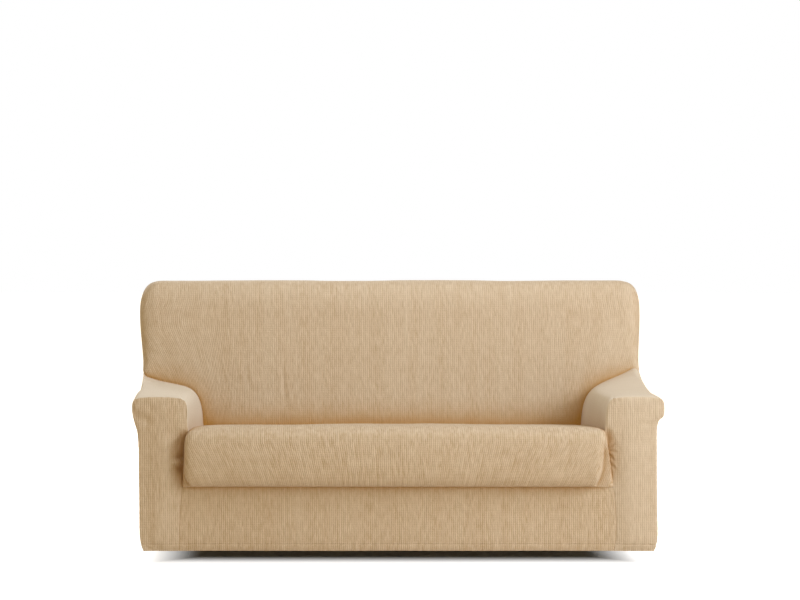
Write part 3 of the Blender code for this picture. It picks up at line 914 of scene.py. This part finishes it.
# Crinkled two-way stretch weave: soft ribs 7 mm apart that wander, broken into puffs along their length.
# A noise is given by its scale, and by its stretch along the ribs where it is long.
weave = {
    "rib": 0.0070, "puff": 0.0080, "wander": 0.0055, "relief": 0.0013, "bump": 0.7,
    "drift": (100, 0.30), "lift": 75, "patch": 14, "yarn": (600, 0.4), "streak": (26, 0.06),
    "puffTurn": 0.6, "ribHeight": 0.60, "ribLoss": 0.8, "puffHeight": 0.22, "driftHeight": 2.4,
    "shadeRange": 0.80, "streakFrom": 0.35, "streakShare": 0.7,
    # The weave's crest and groove colours are a painted highlight and painted shade on its relief; the pale
    # colour marks random streaks.
    "face": (0.640, 0.520, 0.378), "grooveShade": (0.458, 0.335, 0.200), "pale": (0.700, 0.610, 0.480),
    # A dark brown, painted into crevices as painted shade.
    "paintedShade": (0.430, 0.222, 0.045), "paintedShadeFrom": 0.06, "paintedShadeShare": 1.5,
    # The paler colour of stretched panels: partly the cloth's own look when stretched, partly a painted
    # highlight.
    "stretchAndHighlight": (0.670, 0.620, 0.530), "paintedHighlightShare": 0.70, "tautRelief": 0.55, "paintedShadeStretchLoss": 0.45,
    "roughness": 0.86, "specular": 0.25, "sheen": 0.18, "sheenRoughness": 0.5,
}


def stretchCloth():
    finish = Finish("stretch_cloth")
    place = finish.node("UVMap", {"uv_map": "weave"})
    across = finish.node("SeparateXYZ", {}, {0: place}, 0)
    along = finish.node("SeparateXYZ", {}, {0: place}, 1)
    stretchAndHighlight = finish.node("Attribute", {"attribute_name": "stretchAndHighlight"}, {}, 2)
    paintedShade = finish.node("Attribute", {"attribute_name": "crevice"}, {}, 2)
    drift = finish.longNoise(place, *weave["drift"], 2)
    yarn = finish.longNoise(place, *weave["yarn"], 2)
    streak = finish.longNoise(place, *weave["streak"], 3)
    lift = finish.noise(place, weave["lift"], 2)
    patch = finish.noise(place, weave["patch"], 2)
    ribTurn = (across + (drift - 0.5) * weave["wander"]) * (2 * math.pi / weave["rib"])
    rib = finish.maths("SINE", ribTurn)
    puffTurn = (along + (lift - 0.5) * weave["wander"]) * (2 * math.pi / weave["puff"])
    puff = finish.maths("SINE", puffTurn + rib * weave["puffTurn"])
    relief = rib * (1.0 - patch * weave["ribLoss"]) * weave["ribHeight"] + puff * patch * weave["puffHeight"]
    relief = relief + (yarn - 0.5) + (drift - 0.5) * weave["driftHeight"]
    relief = relief * (1 - stretchAndHighlight * weave["tautRelief"])
    # The colour follows the relief: paler on the crests and darker in the grooves, as painted highlight and
    # painted shade.
    shade = finish.node("MapRange", {"clamp": True}, {
        0: relief, 1: -weave["shadeRange"], 2: weave["shadeRange"], 3: 0.0, 4: 1.0})
    colour = finish.mixColours(shade, (*weave["grooveShade"], 1), (*weave["face"], 1))
    streaks = (streak - weave["streakFrom"]) * weave["streakShare"]
    colour = finish.mixColours(streaks, colour, (*weave["pale"], 1))
    # Stretched panels are painted paler: partly their own look, partly a painted highlight where light falls
    # strongly on them.
    colour = finish.mixColours(stretchAndHighlight * weave["paintedHighlightShare"], colour, (*weave["stretchAndHighlight"], 1))
    # Painted shade: the colour turns dark brown where a point lies in a crevice, less so on stretched panels.
    paintedShadeAmount = finish.node("Math", {"operation": "MULTIPLY", "use_clamp": True}, {
        0: (paintedShade - weave["paintedShadeFrom"]) * (1 - stretchAndHighlight * weave["paintedShadeStretchLoss"]), 1: weave["paintedShadeShare"]})
    colour = finish.mixColours(paintedShadeAmount, colour, (*weave["paintedShade"], 1))
    bump = finish.node("Bump", {}, {"Strength": weave["bump"], "Distance": weave["relief"], "Height": relief})
    return finish.shade(
        Base_Color=colour, Roughness=weave["roughness"], Specular_IOR_Level=weave["specular"], Normal=bump,
        Sheen_Weight=weave["sheen"], Sheen_Roughness=weave["sheenRoughness"],
    )


def threadFinish():
    finish = Finish("sewing_thread")
    place = finish.node("TexCoord", {}, {}, 3)
    ply = finish.noise(place, thread["twist"], 1)
    colour = finish.mixColours(ply, (*thread["shade"], 1), (*thread["colour"], 1))
    bump = finish.node("Bump", {}, {"Strength": thread["bump"], "Distance": thread["relief"], "Height": ply})
    return finish.shade(
        Base_Color=colour, Roughness=thread["roughness"], Specular_IOR_Level=thread["specular"], Normal=bump,
    )


def thinned(path, step):
    kept = [path[0]]
    for point in path[1:]:
        if np.linalg.norm(point - kept[-1]) >= step:
            kept.append(point)
    return kept


def makeSeamThreads():
    curve = bpy.data.curves.new("seam_threads", "CURVE")
    curve.dimensions = "3D"
    curve.bevel_depth = thread["radius"]
    curve.bevel_resolution = 1
    curve.use_fill_caps = True
    laid = []
    for nodeName, piece in sheets.items():
        points, drops = readPoints(piece), threadDrops[nodeName]
        taken = treeOf(laid)
        parts = []
        for run in seamRunsOf[nodeName]:
            parts.append([])
            for index in run:
                if index not in drops or laid and taken.find(points[index])[2] < thread["apart"]:
                    parts.append([])
                else:
                    parts[-1].append(points[index] - drops[index])
        for part in parts:
            if len(part) < thread["fewest"]:
                continue
            laid.extend(part)
            path = thinned(part, thread["step"])
            spline = curve.splines.new("POLY")
            spline.points.add(len(path) - 1)
            for knot, point in zip(spline.points, path):
                knot.co = (*point, 1)
    selectOnly(newObject("seam_threads", curve))
    bpy.ops.object.convert(target="MESH")
    return bpy.context.object


def between(place, places, values):
    return np.array([np.interp(place, places, values[:, axis]) for axis in range(3)])


def makeHemStitches():
    bpy.ops.object.select_all(action="DESELECT")
    bpy.ops.mesh.primitive_ico_sphere_add(subdivisions=1, radius=0.5, location=(0, 0, 0))
    stitch = bpy.context.object
    shape = readPoints(stitch) * thread["stitch"]
    faces = [tuple(polygon.vertices) for polygon in stitch.data.polygons]
    bpy.data.objects.remove(stitch)
    corners = []
    polygons = []
    for nodeName, piece in sheets.items():
        points, normals = readPoints(piece), readPoints(piece, "normal")
        for run in stitchRunsOf[nodeName]:
            path, out = points[run], normals[run]
            places = lengthsAlong(path)
            for place in np.arange(thread["pitch"] / 2, places[-1], thread["pitch"]):
                middle, up = between(place, places, path), between(place, places, out)
                forward = between(place + thread["ahead"], places, path) - middle
                if np.linalg.norm(forward) < thread["shortest"]:
                    continue
                forward /= np.linalg.norm(forward)
                up -= forward * (up @ forward)
                up /= np.linalg.norm(up)
                first = len(corners)
                turned = shape @ np.array([forward, np.cross(up, forward), up])
                corners.extend((turned + middle + up * thread["raised"]).tolist())
                polygons.extend([tuple(first + index for index in face) for face in faces])
    mesh = bpy.data.meshes.new("hem_stitches")
    mesh.from_pydata(corners, [], polygons)
    return newObject("hem_stitches", mesh)


def finishPiece(piece, finish):
    piece.data.materials.clear()
    piece.data.materials.append(finish)
    selectOnly(piece)
    bpy.ops.object.shade_smooth_by_angle(angle=math.radians(cloth["smoothAngle"]))
    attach(piece, body)
    report(piece)


sewingFinish = threadFinish()
for piece in (makeSeamThreads(), makeHemStitches()):
    finishPiece(piece, sewingFinish)
print("seams and hem sewn")

clothFinish = stretchCloth()
for nodeName, piece in sheets.items():
    applied(piece, "SOLIDIFY", thickness=cloth["thickness"], offset=-1)
    finishPiece(piece, clothFinish)
    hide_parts(nodeName)
print("cover finished")

# The camera stands where the photo was taken from.
standpoint = {"place": (-0.347, -8.770, 0.1545), "down": 1.463, "lens": 106.92, "shift": 0.13125}
camera = newObject("camera", bpy.data.cameras.new("camera"))
camera.location = standpoint["place"]
camera.rotation_euler = (math.radians(90 - standpoint["down"]), 0, 0)
camera.data.lens = standpoint["lens"]
camera.data.shift_x = standpoint["shift"]
bpy.context.scene.camera = camera

# The room lights the cover warmly, and what the camera sees of it is white.
room = {"light": (1.0, 0.75, 0.35), "lightStrength": 0.51, "seen": (1, 1, 1), "seenStrength": 1.0}
world = bpy.data.worlds.new("room")
bpy.context.scene.world = world
world.use_nodes = True
worldTree = world.node_tree
background = worldTree.nodes["Background"]
bright = worldTree.nodes.new("ShaderNodeBackground")
for node, part in (background, "light"), (bright, "seen"):
    node.inputs["Color"].default_value = (*room[part], 1)
    node.inputs["Strength"].default_value = room[part + "Strength"]
rays = worldTree.nodes.new("ShaderNodeLightPath")
choose = worldTree.nodes.new("ShaderNodeMixShader")
worldTree.links.new(rays.outputs["Is Camera Ray"], choose.inputs[0])
worldTree.links.new(background.outputs[0], choose.inputs[1])
worldTree.links.new(bright.outputs[0], choose.inputs[2])
worldTree.links.new(choose.outputs[0], worldTree.nodes["World Output"].inputs["Surface"])

# Soft lights, each by its place, width, power and colour.
lights = {
    "key_light": ((4.2, -2.8, 2.4), 2.2, 91, (0.93, 1.0, 1.15)),
    "top_light": ((-0.6, -1.2, 3.5), 3.0, 22, (0.82, 1.0, 1.30)),
    "near_light": ((0, -1.5, 1.9), 1.6, 18, (0.90, 1.0, 1.20)),
    "rear_light": ((-2.4, 5.0, 2.4), 3.0, 120, (0.95, 1.0, 1.10)),
    "low_light": ((3.4, -3.2, 0.6), 1.8, 50, (0.97, 1.0, 1.10)),
}
lightsAim = Vector((0, -0.4, -0.45))
for name, (place, width, power, colour) in lights.items():
    bpy.ops.object.light_add(type="AREA", location=place)
    light = bpy.context.object
    light.name = name
    light.data.shape = "DISK"
    light.data.size = width
    light.data.energy = power
    light.data.color = colour
    light.rotation_euler = (lightsAim - Vector(place)).to_track_quat("-Z", "Y").to_euler()
bpy.context.scene.view_settings.view_transform = "Standard"

# The floor glows white up to the cover, seen only by the camera. The glow fades out towards the cover, which
# paints the soft edge of the shadow; under the cover the shade is real, and the floor there is bluer to
# cancel the warm room light in that shade.
ground = {
    "below": 0.047, "radius": 40, "sides": 96, "roughness": 0.7,
    "middle": -0.340, "halfWidth": 0.900, "halfDepth": 0.430, "paintedShadowFade": (-0.230, -0.020),
    "under": (0.70, 0.82, 1.0), "around": (0.86, 0.80, 0.72),
}


def whiteFloor():
    finish = Finish("floor_white")
    place = finish.node("TexCoord", {}, {}, 3)
    across = finish.node("SeparateXYZ", {}, {0: place}, 0)
    depth = finish.node("SeparateXYZ", {}, {0: place}, 1)
    sideways = finish.maths("ABSOLUTE", across) - ground["halfWidth"]
    outwards = finish.maths("ABSOLUTE", depth - ground["middle"]) - ground["halfDepth"]
    # Painted shadow edge: the glow fades out over this band towards the cover.
    outside = finish.node("MapRange", {"interpolation_type": "SMOOTHSTEP"}, {
        0: finish.maths("MAXIMUM", sideways, outwards), 1: ground["paintedShadowFade"][0], 2: ground["paintedShadowFade"][1]})
    seen = finish.node("LightPath", {}, {}, 0)
    glow = finish.mixColours(outside * seen, (0, 0, 0, 1), (1, 1, 1, 1))
    colour = finish.mixColours(outside, (*ground["under"], 1), (*ground["around"], 1))
    return finish.shade(
        Base_Color=colour, Roughness=ground["roughness"], Emission_Color=glow, Emission_Strength=1.0,
    )


bpy.ops.mesh.primitive_circle_add(vertices=ground["sides"], radius=ground["radius"], fill_type="NGON",
                                  location=(0, 0, hemLevel - ground["below"]))
floor = bpy.context.object
floor.name = "floor"
floor.data.materials.append(whiteFloor())
print("room lit")
